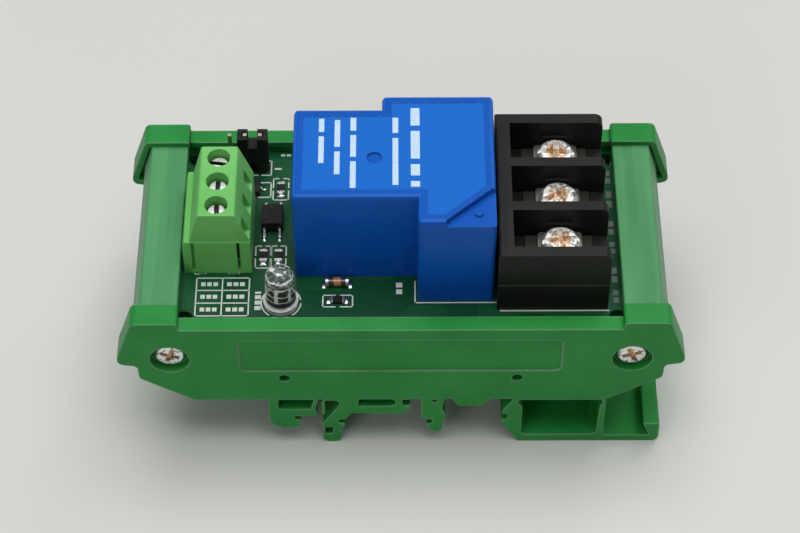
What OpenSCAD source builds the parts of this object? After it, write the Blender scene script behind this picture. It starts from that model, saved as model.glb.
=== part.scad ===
// Power relay module in a clip-on carrier for a 35 mm or 15 mm mounting rail.
// X runs across the carrier, Y along the rail, Z up. The origin lies under the middle, at foot level.

/* [Carrier] */
// Length along the rail, over both end caps
carrier_len = 43.4; // [43.4:0.2:60]
// Height of the carrier's bottom face above the feet
plate_bottom = 12; // [11.8:0.1:12.2]

/* [End caps] */
// Thickness of the cap plate
plate_t = 2.4; // [2.3:0.1:2.6]
// Depth of the collar that wraps the profile
lip_d = 4.25; // [3.5:0.05:5.5]
// Wall of the collar
cap_wall = 1; // [0.8:0.1:1.1]
// Depth of the rail feet
foot_d = 11; // [8:0.5:15]
// Head bore for the cap screws
screw_bore_d = 6.5; // [6:0.1:7]
// Depth of the label field
label_depth = 0.3; // [0.1:0.1:0.5]

/* [Rail feet] */
// Width of the wide rail
rail_w = 35; // [34.8:0.1:35.2]
// Width of the narrow rail
mini_rail_w = 15; // [14.8:0.1:15.2]
// Sheet thickness of the rails
rail_t = 1; // [0.9:0.1:1.1]
// Play of a rail between its hooks
rail_play = 0.6; // [0.4:0.1:0.8]

/* [Board] */
// Width across the carrier
board_w = 76; // [75:0.5:78]
// Thickness
board_t = 1.6; // [1.4:0.1:1.6]
// Diameter of the corner holes
board_hole_d = 3; // [2.8:0.1:3.2]

/* [Relay] */
// Height of the case above the board
relay_h = 19.9; // [16:0.1:25]
// Wall of the case
relay_wall = 1; // [0.8:0.1:1.3]
// Radius of the case's edges
relay_edge = 0.7; // [0.4:0.1:0.9]

/* [Input terminal] */
// Distance between poles
term_pitch = 5.08; // [5:0.04:5.08]
// Height above the board
term_h = 14.2; // [13.8:0.1:15]
// Diameter of the screw holes
term_hole_d = 3.75; // [3.6:0.05:3.8]

/* [Output block] */
// Distance between poles
barrier_pitch = 9.5; // [9.4:0.05:9.55]
// Height of the partitions above the board
barrier_h = 13.55; // [12.5:0.05:15]
// Thickness of the partitions
barrier_wall = 1.8; // [1.6:0.1:2]
// Diameter of the screw heads
barrier_head_d = 6.4; // [5.4:0.1:6.8]

/* [Indicator and jumper] */
// Diameter of the indicator lamp
led_d = 5; // [4.6:0.1:5.2]
// Height of the lamp above the board
led_h = 8.6; // [7.5:0.1:9.5]
// Distance between header pins
pin_pitch = 2.54; // [2.5:0.01:2.54]

/* [Hidden] */
$fn = 48;
gap = 0.1;

// Levels
board_top = 27.9;
board_bottom = board_top - board_t;
ledge_top = 30.6;
arm_top = 32.2;
arm_in = 2.2;
ledge_t = 1.2;
roof_t = 1.2;
profile_bottom = plate_bottom + roof_t;
profile_top = arm_top - cap_wall;
foot_level = 0;

// Across and along the carrier
side = board_w / 2;
cap_front = -carrier_len / 2;
profile_end = carrier_len / 2 - plate_t;
ledge_d = plate_t + 0.36;
board_end = profile_end - gap;

// Cap screws
screw_x = side - 0.4;
screw_z = 22.95;
screw_seat = 1.7;
screw_head_d = 4.8;
screw_head_h = 0.9;
screw_d = 2.9;
screw_len = 10;

// Hooks: where a rail's edges lie, and how far the hook tips reach under it
rail_left = -(rail_w + rail_play) / 2;
rail_right = (rail_w + rail_play) / 2;
rail_z = 6.2;
mini_x = -2.65;
mini_left = mini_x - (mini_rail_w + rail_play) / 2;
mini_right = mini_x + (mini_rail_w + rail_play) / 2;
mini_z = 5.2;
hook_reach = 1;
rail_slot = rail_t + 0.1;

// Relay outline: a narrow block and a wide block side by side
relay_x0 = -17.3;
relay_x1 = 15.2;
relay_narrow = [-8.35, 10.7];
relay_wide = [-13.6, 13.6];
relay_step_front = 2.75;
relay_step_rear = -2.95;
relay_top = board_top + relay_h;
relay_base_t = 2.6;
relay_roof_t = 2.6;
relay_panel_in = 1.6;
relay_panel_d = 0.12;
relay_shelf_d = 1.25;

// Input terminal
term_y = 0.15;
term_foot = [-35.5, -24.4];
term_len = 3 * term_pitch + 0.06;
term_screw_x = -29.65;
term_screw_seat = 3.1;
term_top = board_top + term_h;
term_poles = [for (i = [-1:1]) term_y + i * term_pitch];

// Output block
barrier_x0 = 15.65;
barrier_x1 = 33.65;
barrier_bay_x = 18.1;
barrier_floor = board_top + 6.8;
barrier_base_h = 6.2;
contact_t = 0.8;
washer_t = 0.8;
barrier_screw_x = 25.8;
barrier_head_h = 2.5;
barrier_poles = [for (i = [-1:1]) i * barrier_pitch];
barrier_half = 1.5 * barrier_pitch + barrier_wall / 2 + 0.15;

// Jumper header
header_y = 15.5;
header_pins_x = [for (i = [-1:1]) -26.1 + i * pin_pitch];
header_base_h = 2.5;
pin_side = 0.64;

// Indicator lamp
led_pos = [-19.5, -13.77];
led_lead_x = 1.27;

// Small parts on the board: centre and turn
opto_pos = [-21.4, 3.5];
transistor_pos = [-24.3, 10.6];
diode_pos = [-10.4, -10.1];
resistors = [[-20.2, 10.7, 90], [-22.7, -4.1, 90], [-20.2, -4.1, 90], [-10.3, -13.45, 0]];

// Through-hole pins: x, y, width along X, width along Y
relay_pin_list = [
    [-14.4, -5.6, 0.8, 0.8], [-14.4, 7.7, 0.8, 0.8],
    [5.2, -10.2, 1.6, 0.8], [12.2, 0, 0.8, 2], [5.2, 10, 1.6, 0.8]
];
term_pin_list = [for (y = term_poles) [-26.8, y, 0.8, 1]];
barrier_pin_list = [for (y = barrier_poles) [20.6, y, 0.8, 1.6]];
header_pin_list = [for (x = header_pins_x) [x, header_y, pin_side, pin_side]];
led_pin_list = [for (s = [-1, 1]) [led_pos[0] + s * led_lead_x, led_pos[1], 0.5, 0.5]];
through_pins = concat(relay_pin_list, term_pin_list, barrier_pin_list, header_pin_list, led_pin_list);
pin_tip = board_bottom - 1.6;

// ---- Outlines ----

// Corner i of an outline of [x, y, radius] points, as an arc in n steps
function corner(p, i, n) =
    let (
        c = len(p),
        here = [p[i][0], p[i][1]],
        back = [p[(i + c - 1) % c][0], p[(i + c - 1) % c][1]] - here,
        on = [p[(i + 1) % c][0], p[(i + 1) % c][1]] - here,
        u = back / norm(back),
        v = on / norm(on),
        half = acos(u * v) / 2,
        centre = here + (u + v) / norm(u + v) * p[i][2] / sin(half),
        first = here + u * p[i][2] / tan(half) - centre,
        start = atan2(first[1], first[0]),
        turn = sign(u[1] * v[0] - u[0] * v[1]) * (180 - 2 * half)
    )
    p[i][2] == 0
        ? [here]
        : [for (k = [0:n]) centre + p[i][2] * [cos(start + turn * k / n), sin(start + turn * k / n)]];

// An outline of [x, y, radius] points with its corners rounded
function rounded(p, n = 4) = [for (i = [0:len(p) - 1]) each corner(p, i, n)];

// The outline on the right of the middle line, closed by its mirror image
function mirrored(p) = concat(p, [for (i = [len(p) - 1:-1:0]) [-p[i][0], p[i][1], p[i][2]]]);

// A rectangle as an outline with one corner radius
function box_outline(x0, y0, x1, y1, r) = [[x0, y0, r], [x1, y0, r], [x1, y1, r], [x0, y1, r]];

// End cap seen along the rail: raised arms with sloping sides, a waist and a chamfered belly
cap_half = [
    [side - arm_in, ledge_top, 0.3],
    [side - arm_in, arm_top, 0.5],
    [side + 5.3, arm_top, 1.2],
    [side + 8.15, 23.4, 3],
    [side + 8.15, 21.8, 1.1],
    [side + 5, 21.2, 0.9],
    [side + 4.9, 18, 1.3],
    [side - 3.8, plate_bottom, 0.8]
];

// Section of the extruded profile: belly, waist, hollow rail with a fine groove, board slot and tray
profile_half = [
    [side - 4.55, profile_bottom, 0.4],
    [side + 3.5, 18.7, 0.8],
    [side + 3.6, 22.7, 0.4],
    [side + 5.8, 22.9, 0.5],
    [side + 5.8, 26.2, 1.5],
    [side + 4.65, 29.8, 0],
    [side + 4.25, 29.8, 0.1],
    [side + 4.25, 30.15, 0.1],
    [side + 4.54, 30.15, 0],
    [side + 4.2, profile_top, 0.4],
    [side - 2, profile_top, 0.3],
    [side - 2, board_top + gap, 0],
    [side + gap, board_top + gap, 0],
    [side + gap, board_bottom, 0],
    [side - 2, board_bottom, 0],
    [side - 2, board_bottom - 1, 0.3],
    [side - 3, 24.7, 0.4],
    [side - 3, 20.6, 0.4],
    [side + 1.8, 20.4, 0.3],
    [side + 1.8, 18.9, 0.6],
    [side - 5.1, 14.4, 0.8]
];

// Left hook of the wide rail, with its hollow bar
outer_leg = [
    [-22, profile_bottom, 0],
    [-22, 4.15, 2.2],
    [rail_left + hook_reach, 4.15, 1.5],
    [rail_left + hook_reach, rail_z, 0.3],
    [rail_left, rail_z, 0.15],
    [rail_left, rail_z + rail_slot, 0.15],
    [-13.85, rail_z + rail_slot, 0.5],
    [-14.35, 9, 0.5],
    [-13.75, plate_bottom + 0.2, 0],
    [-13.75, profile_bottom, 0]
];
outer_leg_window = [
    [-20.4, plate_bottom - 0.1, 0.3],
    [-20.4, 9.15, 0.3],
    [-15.05, 9.15, 0.2],
    [-14.45, plate_bottom - 0.1, 0.2]
];

// Left hook of the narrow rail, which also stands on the ground
inner_leg = [
    [-12.6, profile_bottom, 0],
    [-12.6, plate_bottom, 0.3],
    [-13.2, 11.2, 0.4],
    [-13.2, foot_level, 1.3],
    [-10, foot_level, 1.3],
    [-10, 3.7, 0.5],
    [mini_left + hook_reach, 4.5, 0.2],
    [mini_left + hook_reach, mini_z, 0.2],
    [mini_left, mini_z, 0.15],
    [mini_left, mini_z + rail_slot, 0.15],
    [mini_left + hook_reach, mini_z + rail_slot, 0.2],
    [-8.2, 8.05, 0.4],
    [0.7, 8.05, 0.4],
    [1.55, 9.4, 0.3],
    [1.55, profile_bottom, 0]
];
inner_leg_cut = [
    [-12.7, plate_bottom - 0.35, 0.3],
    [-12.7, 7.9, 0.2],
    [-14, 7.9, 0],
    [-14, 5.4, 0],
    [-12.95, 5.4, 0.2],
    [-10.25, 10.3, 0.6],
    [-10.25, plate_bottom - 0.35, 0.8]
];
bar_slot = [
    [-7.1, plate_bottom, 0.2],
    [-7.1, 9.95, 0.2],
    [-0.9, 9.95, 0.9],
    [-0.9, plate_bottom, 0.9]
];

// Right hook of the narrow rail
mini_hook = [
    [3.4, profile_bottom, 0],
    [3.4, 7, 0.5],
    [mini_right - hook_reach, mini_z + rail_slot, 0.2],
    [mini_right, mini_z + rail_slot, 0.15],
    [mini_right, mini_z - 0.3, 0.15],
    [mini_right - hook_reach, mini_z - 0.3, 0.2],
    [5.3, 2.85, 0.6],
    [6.7, 2.85, 0.7],
    [7.5, 7.2, 0.8],
    [6.75, 9.2, 0.6],
    [7.3, plate_bottom, 0],
    [7.3, profile_bottom, 0]
];

// Spring foot: right hook of the wide rail, a thin-necked loop and the release tray
spring_foot = [
    [16.9, profile_bottom, 0],
    [16.9, rail_z + rail_slot + 0.4, 0.15],
    [rail_right, rail_z + rail_slot + 0.4, 0.15],
    [rail_right, rail_z - 0.1, 0.15],
    [rail_right - hook_reach, rail_z - 0.1, 0.2],
    [rail_right - hook_reach, 5.3, 0.4],
    [19.9, foot_level, 0.5],
    [43.5, foot_level, 1.2],
    [43.5, 4.8, 0.4],
    [40.7, 4.8, 0.2],
    [41.95, 1.5, 0.2],
    [34.05, 1.5, 0.4],
    [34.05, profile_bottom, 0]
];
spring_window = [
    [19.5, plate_bottom - 0.3, 0.4],
    [19.5, 10.4, 0.3],
    [20.2, 9.8, 0.3],
    [20.2, 1.8, 1],
    [32.85, 1.8, 1],
    [33.15, 9.9, 0.3],
    [33.5, 10.4, 0.3],
    [33.5, plate_bottom - 0.3, 0.4]
];
spring_recess = [
    [16.8, plate_bottom, 0],
    [18.5, plate_bottom, 0],
    [18.5, 11.4, 0.3],
    [16.8, 8.5, 0]
];
stop_pad = [
    [8.6, profile_bottom, 0],
    [8.6, plate_bottom - 0.2, 0],
    [9.5, 10.1, 0.5],
    [13.5, 10.1, 0.5],
    [14.8, plate_bottom - 0.2, 0],
    [14.8, profile_bottom, 0]
];

// Side view of the input terminal
term_side = [
    [term_foot[0], board_top, 0],
    [term_foot[1], board_top, 0],
    [term_foot[1], board_top + 7.9, 0.4],
    [-26.65, term_top, 0.5],
    [-32.6, term_top, 0.5],
    [-34.3, board_top + 7.8, 0],
    [-35.2, board_top + 7.8, 0.3],
    [term_foot[0], board_top + 6.6, 0.5]
];

// ---- Shared shapes ----

// A shape drawn in X and Z, running d along Y from y0
module along_y(y0, d) {
    translate([0, y0 + d, 0])
        rotate([90, 0, 0])
            linear_extrude(d)
                children();
}

// A box by its two corners
module block(x0, y0, z0, x1, y1, z1) {
    translate([x0, y0, z0])
        cube([x1 - x0, y1 - y0, z1 - z0]);
}

// A block with upright corners and a top edge of radius r
module soft_block(x0, y0, z0, x1, y1, z1, r) {
    hull()
        for (a = [0, 45, 90]) {
            in = r * (1 - cos(a));
            translate([0, 0, z0])
                linear_extrude(z1 - z0 - r * (1 - sin(a)))
                    polygon(rounded(box_outline(x0 + in, y0 + in, x1 - in, y1 - in, r - in * 0.9)));
        }
}

// A pan-head screw pointing down, its head's underside at the origin
module pan_screw(head_d, head_h, shank_d, length, slot_w, slot_d, cross) {
    edge = head_h * 0.55;
    difference() {
        union() {
            rotate_extrude()
                polygon([
                    [0, 0],
                    [head_d / 2, 0],
                    [head_d / 2, head_h - edge],
                    for (a = [15:15:60])
                        [head_d / 2 - edge + edge * cos(a), head_h - edge + edge * sin(a)],
                    [0, head_h]
                ]);
            translate([0, 0, -length])
                cylinder(length + 0.1, d = shank_d);
        }
        for (turn = cross ? [0, 90] : [0])
            rotate(turn)
                translate([-head_d * (cross ? 0.33 : 0.6), -slot_w / 2, head_h - slot_d])
                    cube([head_d * (cross ? 0.66 : 1.2), slot_w, slot_d + 1]);
    }
}

// Rectangular pins through the board, from z0 to z1
module pins(list, z0, z1) {
    for (p = list)
        block(p[0] - p[2] / 2, p[1] - p[3] / 2, z0, p[0] + p[2] / 2, p[1] + p[3] / 2, z1);
}

// Radius of the plated hole round a pin
function pin_hole_r(p) = norm([p[2], p[3]]) / 2 + 0.15;

// ---- Carrier ----

module carrier_profile() {
    color("mediumseagreen")
        along_y(-profile_end, 2 * profile_end)
            difference() {
                polygon(rounded(mirrored(profile_half)));
                for (s = [-1, 1])
                    scale([s, 1])
                        profile_hollows();
            }
}

// Hollow of the top rail, and the open channel that the cap screws bite into
module profile_hollows() {
    polygon(rounded([
        [side + 1.4, profile_top - 1.2, 0.4],
        [side + 1.4, 26, 0.4],
        [side + 4.55, 26, 0.4],
        [side + 3.3, profile_top - 1.2, 0.4]
    ]));
    translate([screw_x, screw_z])
        circle(d = screw_d);
    translate([side - 4, screw_z - 0.4])
        square([4, 0.8]);
}

module end_cap_front() {
    color("forestgreen")
        end_cap();
}

module end_cap_rear() {
    color("forestgreen")
        mirror([0, 1, 0])
            end_cap();
}

// Plate, collar, board ledge and rail feet, moulded in one piece
module end_cap() {
    difference() {
        union() {
            along_y(cap_front, plate_t)
                cap_outline();
            along_y(cap_front, lip_d)
                collar();
            along_y(cap_front, ledge_d)
                ledge();
            along_y(cap_front, foot_d)
                feet();
        }
        along_y(cap_front - 1, 1 + label_depth)
            polygon(rounded(box_outline(-26.2, 19.7, 26.2, 27.9, 1)));
        for (s = [-1, 1])
            translate([s * screw_x, cap_front, screw_z])
                rotate([-90, 0, 0])
                    screw_hole();
        for (x = [-19.1, 19.1])
            translate([x, cap_front - 1, 17.85])
                rotate([-90, 0, 0])
                    cylinder(plate_t + 2, d = 1.8);
        along_y(cap_front - 1, foot_d - 2)
            translate([0.25, 10.1])
                square([3, 1.75]);
        along_y(cap_front - 1, 5)
            polygon(rounded(spring_recess));
    }
}

module screw_hole() {
    translate([0, 0, -1])
        cylinder(1 + screw_seat, d = screw_bore_d);
    cylinder(plate_t + 1, d = screw_d + 0.3);
}

module cap_outline() {
    polygon(rounded(mirrored(cap_half)));
}

// The collar leaves the middle of the top open, where the ledge runs
module collar() {
    difference() {
        cap_outline();
        offset(delta = -cap_wall)
            cap_outline();
        translate([-side + arm_in + cap_wall, ledge_top - 4])
            square([2 * (side - arm_in - cap_wall), 6]);
        translate([-side - 2, 24])
            square([2 * side + 4, profile_top - 24]);
    }
}

module ledge() {
    translate([-side + arm_in + 0.1, ledge_top - ledge_t])
        square([2 * (side - arm_in - 0.1), ledge_t]);
}

module feet() {
    difference() {
        union() {
            translate([-22, plate_bottom])
                square([56.05, roof_t]);
            for (leg = [outer_leg, inner_leg, mini_hook, stop_pad, spring_foot])
                polygon(rounded(leg));
        }
        for (hole = [outer_leg_window, inner_leg_cut, bar_slot, spring_window])
            polygon(rounded(hole));
        translate([-12.8, 2.2])
            square([1.35, 1.9]);
        translate([5.2, 11])
            square([0.8, 0.8]);
    }
}

module cap_screws() {
    color("silver")
        for (end = [0, 1])
            mirror([0, end, 0])
                for (s = [-1, 1])
                    translate([s * screw_x, cap_front + screw_seat, screw_z])
                        rotate([90, 0, 0])
                            rotate(s * 20)
                                pan_screw(screw_head_d, screw_head_h, screw_d, screw_len, 0.8, 0.6, true);
}

// ---- Board ----

module circuit_board() {
    color("darkgreen")
        difference() {
            block(-side, -board_end, board_bottom, side, board_end, board_top);
            for (x = [-side + 2.8, side - 2.8], y = [-board_end + 2.2, board_end - 2.2])
                translate([x, y, board_bottom - 1])
                    cylinder(board_t + 2, d = board_hole_d);
            for (p = through_pins)
                translate([p[0], p[1], board_bottom - 1])
                    cylinder(board_t + 2, r = pin_hole_r(p));
        }
}

// Solder fills each plated hole and makes a cone round the pin below the board
module solder_joints() {
    color("lightgray")
        difference() {
            for (p = through_pins)
                translate([p[0], p[1], board_bottom]) {
                    cylinder(board_t, r = pin_hole_r(p));
                    translate([0, 0, -0.9])
                        cylinder(0.9, r1 = pin_hole_r(p) + 0.05, r2 = pin_hole_r(p) + 0.5);
                }
            pins(through_pins, pin_tip - 1, board_top + 1);
        }
}

// ---- Relay ----

module relay_outer() {
    narrow = relay_narrow;
    wide = relay_wide;
    soft_block(relay_x0, narrow[0], board_top, relay_step_front + 4, narrow[1], relay_top, relay_edge);
    soft_block(relay_step_rear, narrow[0] + 4, board_top, relay_x1, wide[1], relay_top, relay_edge);
    soft_block(relay_step_front, wide[0], board_top, relay_x1, wide[1] - 8, relay_top, relay_edge);
}

// Footprint of the case, drawn in by the given amount
module relay_footprint(in) {
    offset(delta = -in)
        union() {
            translate([relay_x0, relay_narrow[0]])
                square([relay_step_front - relay_x0, relay_narrow[1] - relay_narrow[0]]);
            translate([relay_step_front, relay_wide[0]])
                square([relay_x1 - relay_step_front, relay_wide[1] - relay_wide[0]]);
            translate([relay_step_rear, 0])
                square([relay_x1 - relay_step_rear, relay_wide[1]]);
        }
}

// Corner of the case that lies lower than the rest of its top
module relay_corner() {
    translate([0, 0, relay_top - relay_shelf_d])
        linear_extrude(3)
            polygon([[relay_x1 + 1, -6.2], [14.5, -6.6], [7.2, -13.1], [7.2, -15], [relay_x1 + 1, -15]]);
}

module relay_case() {
    color("royalblue")
        difference() {
            union() {
                difference() {
                    relay_outer();
                    relay_corner();
                }
                translate([12.5, -10.8, relay_top - relay_shelf_d - 0.05])
                    cylinder(0.5, d = 1.5);
            }
            translate([0, 0, board_top - 1])
                linear_extrude(relay_h + 1 - relay_roof_t)
                    relay_footprint(relay_wall);
            translate([0, 0, relay_top - relay_panel_d])
                linear_extrude(1)
                    difference() {
                        relay_footprint(relay_panel_in);
                        polygon([[relay_x1, -4.6], [4.8, -14], [relay_x1, -14]]);
                    }
            translate([-4.15, 0.1, relay_top - 0.5])
                cylinder(1, r = 1.25);
        }
}

// The base closes the case from below, on four small standoffs
module relay_base() {
    color("midnightblue")
        difference() {
            union() {
                translate([0, 0, board_top + 0.4])
                    linear_extrude(relay_base_t)
                        relay_footprint(relay_wall);
                for (p = [[-15, -6.2], [-15, 8.3], [13, -11.4], [13, 11]])
                    translate([p[0], p[1], board_top])
                        cylinder(1, d = 1.6);
            }
            pins(relay_pin_list, board_top - 1, board_top + relay_base_t + 2);
        }
}

module relay_pins() {
    color("silver")
        pins(relay_pin_list, pin_tip, board_top + relay_base_t + 1.2);
}

// ---- Input terminal ----

module input_terminal_body() {
    color("yellowgreen")
        difference() {
            union() {
                along_y(term_y - term_len / 2 + 0.15, term_len - 0.3)
                    polygon(rounded(term_side));
                along_y(term_y - term_len / 2, term_len)
                    intersection() {
                        polygon(rounded(term_side));
                        translate([-40, board_top])
                            square([20, 7.75]);
                    }
            }
            for (x = [-34.1, -26.65])
                translate([x, term_y - term_len / 2 - 1, board_top + 0.6])
                    cube([0.55, 1.6, 7]);
            for (y = term_poles)
                translate([0, y, 0])
                    terminal_pole();
        }
}

// What is cut out for one pole: wire entry, clamp pocket, screw hole and a slot in the rear slope
module terminal_pole() {
    block(term_foot[0] - 1, -1.7, board_top + 1.7, -32, 1.7, board_top + 5.7);
    block(-32.5, -2.1, board_top + 0.9, -26.3, 2.1, board_top + 9);
    translate([term_screw_x, 0, board_top + 8])
        cylinder(term_h, d = term_hole_d);
    block(-27.3, -0.6, board_top - 1, -26.3, 0.6, board_top + 2);
    block(-25.7, -2.25, board_top + 8.2, -20, -0.25, term_top - 2.6);
}

module input_terminal_screws() {
    color("silver")
        for (i = [0:2])
            translate([term_screw_x, term_poles[i], term_top - term_screw_seat])
                rotate([92, 88, -10][i])
                    pan_screw(term_hole_d - 0.2, 1.7, 2.4, 5.3, 0.8, 0.8, false);
}

// Each clamp is a square sleeve that the screw lifts against the wire
module input_terminal_clamps() {
    color("gainsboro")
        for (y = term_poles)
            translate([0, y, 0])
                difference() {
                    block(-32.1, -2, board_top + 1, -27.4, 2, board_top + 7.6);
                    block(-33, -1.55, board_top + 1.7, -26, 1.55, board_top + 5.7);
                    translate([term_screw_x, 0, board_top + 5])
                        cylinder(4, d = 2.4);
                }
}

module input_terminal_pins() {
    color("silver") {
        pins(term_pin_list, pin_tip, board_top + 2.4);
        for (y = term_poles)
            block(-31.6, y - 1.4, board_top + 1.75, -26.4, y + 1.4, board_top + 2.4);
    }
}

// ---- Output block ----

module barrier_block() {
    color("dimgray")
        difference() {
            soft_barrier();
            for (y = barrier_poles)
                translate([0, y, 0])
                    barrier_bay();
        }
}

// The base stands a little proud of the upper part at both ends
module soft_barrier() {
    along_y(-barrier_half, 2 * barrier_half)
        polygon(rounded([
            [barrier_x0, board_top, 0],
            [barrier_x1, board_top, 0],
            [barrier_x1, board_top + barrier_h, 1.4],
            [barrier_x0, board_top + barrier_h, 0.4]
        ]));
    block(
        barrier_x0, -barrier_half - 0.12, board_top,
        barrier_x1, barrier_half + 0.12, board_top + barrier_base_h
    );
}

// One bay, open above and at the wire side, with a shallow driver scallop in the partition behind it
module barrier_bay() {
    bay = barrier_pitch - barrier_wall;
    block(barrier_bay_x, -bay / 2, barrier_floor, barrier_x1 + 1, bay / 2, board_top + barrier_h + 1);
    intersection() {
        translate([barrier_screw_x, bay / 2 + 0.35 - 7, board_top + barrier_h - 3.6])
            cylinder(3.2, r = 7);
        block(barrier_bay_x, 0, board_top, barrier_x1, bay, board_top + barrier_h);
    }
    translate([barrier_screw_x, 0, board_top + 1.2])
        cylinder(8, d = 3.6);
    block(20.15, -0.85, board_top - 1, 21.05, 0.85, barrier_floor + 1);
}

module barrier_contacts() {
    color("gold")
        for (i = [0:2]) {
            y = barrier_poles[i];
            difference() {
                union() {
                    block(20.2, y - 3.4, barrier_floor, 31, y + 3.4, barrier_floor + contact_t);
                    pins([barrier_pin_list[i]], pin_tip, barrier_floor + 0.4);
                }
                translate([barrier_screw_x, y, barrier_floor - 1])
                    cylinder(3, d = 3);
            }
        }
}

module barrier_washers() {
    color("silver")
        for (y = barrier_poles)
            translate([barrier_screw_x, y, barrier_floor + contact_t])
                difference() {
                    linear_extrude(washer_t)
                        polygon(rounded(box_outline(-3.6, -3.5, 3.6, 3.5, 0.6)));
                    translate([0, 0, -1])
                        cylinder(3, d = 3);
                }
}

module barrier_screws() {
    color("lightgray")
        for (i = [0:2])
            translate([barrier_screw_x, barrier_poles[i], barrier_floor + contact_t + washer_t])
                rotate([5, 25, -5][i])
                    difference() {
                        pan_screw(barrier_head_d, barrier_head_h, 3, 7, 1, 1.2, true);
                        translate([-4, -0.4, barrier_head_h - 0.7])
                            cube([8, 0.8, 2]);
                    }
}

// ---- Jumper header ----

module header_base() {
    color("black")
        difference() {
            for (x = header_pins_x)
                translate([x, header_y, board_top])
                    rotate(22.5)
                        cylinder(header_base_h, d = pin_pitch / cos(22.5), $fn = 8);
            pins(header_pin_list, board_top - 1, board_top + 10);
        }
}

module header_pins() {
    color("gold")
        pins(header_pin_list, pin_tip, board_top + 8.5);
}

jumper_x = (header_pins_x[1] + header_pins_x[2]) / 2;
jumper_z = board_top + header_base_h;

// The cap is open above each pin, with a notch between its two towers
module jumper_cap() {
    color("black")
        difference() {
            block(jumper_x - 2.54, header_y - 1.25, jumper_z, jumper_x + 2.54, header_y + 1.25, jumper_z + 6);
            block(jumper_x - 0.8, header_y - 2, jumper_z + 3.9, jumper_x + 0.8, header_y + 2, jumper_z + 7);
            block(jumper_x - 2, header_y - 0.55, jumper_z - 1, jumper_x + 2, header_y + 0.55, jumper_z + 3.6);
            for (s = [-1, 1])
                block(
                    jumper_x + s * 1.27 - 0.55, header_y - 0.55, jumper_z - 1,
                    jumper_x + s * 1.27 + 0.55, header_y + 0.55, jumper_z + 7
                );
        }
}

// A folded strip that grips both pins
module jumper_contact() {
    color("gold")
        difference() {
            block(jumper_x - 1.9, header_y - 0.52, jumper_z + 0.4, jumper_x + 1.9, header_y + 0.52, jumper_z + 3.5);
            block(
                jumper_x - 1.27 - pin_side / 2, header_y - pin_side / 2, jumper_z,
                jumper_x + 1.27 + pin_side / 2, header_y + pin_side / 2, jumper_z + 4
            );
        }
}

// ---- Indicator lamp ----

module led_lens() {
    color("whitesmoke", 0.5)
        difference() {
            translate([led_pos[0], led_pos[1], board_top])
                rotate_extrude()
                    polygon([
                        [0, 0],
                        [led_d / 2 + 0.4, 0],
                        [led_d / 2 + 0.4, 1],
                        [led_d / 2, 1],
                        for (a = [0:7.5:82.5])
                            [led_d / 2 * cos(a), led_h - led_d / 2 + led_d / 2 * sin(a)],
                        [0.15, led_h],
                        [0, led_h]
                    ]);
            led_leads_shape();
        }
}

module led_leads() {
    color("silver")
        led_leads_shape();
}

// One lead carries the cup of the chip, the other a plain post
module led_leads_shape() {
    pins(led_pin_list, pin_tip, board_top + 2.4);
    translate([led_pos[0], led_pos[1], board_top]) {
        block(-1.6, -0.25, 2.3, -0.25, 0.25, 3.8);
        translate([-0.6, 0, 3.8])
            difference() {
                cylinder(0.9, r1 = 0.5, r2 = 0.75);
                translate([0, 0, 0.5])
                    cylinder(1, r1 = 0.3, r2 = 0.7);
            }
        block(0.7, -0.25, 2.3, 1.5, 0.25, 4.6);
    }
}

// ---- Small parts ----

module optocoupler_body() {
    color("dimgray")
        translate([opto_pos[0], opto_pos[1], board_top])
            difference() {
                union() {
                    block(-1.8, -2.2, 0.1, 1.8, 2.2, 1.1);
                    block(-1.7, -2.1, 1.1, 1.7, 2.1, 2.1);
                }
                translate([-1.1, -1.4, 1.95])
                    cylinder(1, d = 0.6);
            }
}

module optocoupler_leads() {
    color("silver")
        for (x = [-1.27, 1.27], s = [-1, 1])
            translate([opto_pos[0] + x, opto_pos[1], board_top])
                scale([1, s, 1])
                    gull_lead(2.2, 1, 0.5, 1.2, 0.4);
}

// A formed lead in the Y-Z plane: out of the body at height z, then down to the board
module gull_lead(y, z, out, foot, w) {
    t = 0.2;
    rotate([90, 0, 90])
        translate([0, 0, -w / 2])
            linear_extrude(w)
                polygon([
                    [y, z - t / 2], [y + out - t, z - t / 2], [y + out - t, 0], [y + out + foot, 0],
                    [y + out + foot, t], [y + out, t], [y + out, z + t / 2], [y, z + t / 2]
                ]);
}

module chip_resistors() {
    color("black")
        for (r = resistors)
            translate([r[0], r[1], board_top])
                rotate(r[2])
                    block(-0.75, -0.65, 0, 0.75, 0.65, 0.55);
}

module resistor_ends() {
    color("silver")
        for (r = resistors, s = [-1, 1])
            translate([r[0], r[1], board_top])
                rotate(r[2])
                    translate([s * 0.95, 0, 0.275])
                        cube([0.4, 1.3, 0.55], center = true);
}

module transistor_body() {
    color("black")
        translate([transistor_pos[0], transistor_pos[1], board_top]) {
            block(-0.65, -1.45, 0.1, 0.65, 1.45, 0.6);
            block(-0.55, -1.35, 0.6, 0.55, 1.35, 1.1);
        }
}

module transistor_leads() {
    color("silver")
        translate([transistor_pos[0], transistor_pos[1], board_top]) {
            rotate(-90)
                gull_lead(0.65, 0.5, 0.3, 0.4, 0.4);
            for (y = [-0.95, 0.95])
                translate([0, y, 0])
                    rotate(90)
                        gull_lead(0.65, 0.5, 0.3, 0.4, 0.4);
        }
}

module diode_body() {
    color("orangered")
        translate([diode_pos[0], diode_pos[1], board_top + 0.8])
            rotate([0, 90, 0])
                cylinder(2.8, d = 1.5, center = true);
}

module diode_ends() {
    color("silver")
        for (s = [-1, 1])
            translate([diode_pos[0] + s * 1.65, diode_pos[1], board_top + 0.8])
                rotate([0, 90, 0])
                    cylinder(0.5, d = 1.6, center = true);
}

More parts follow.
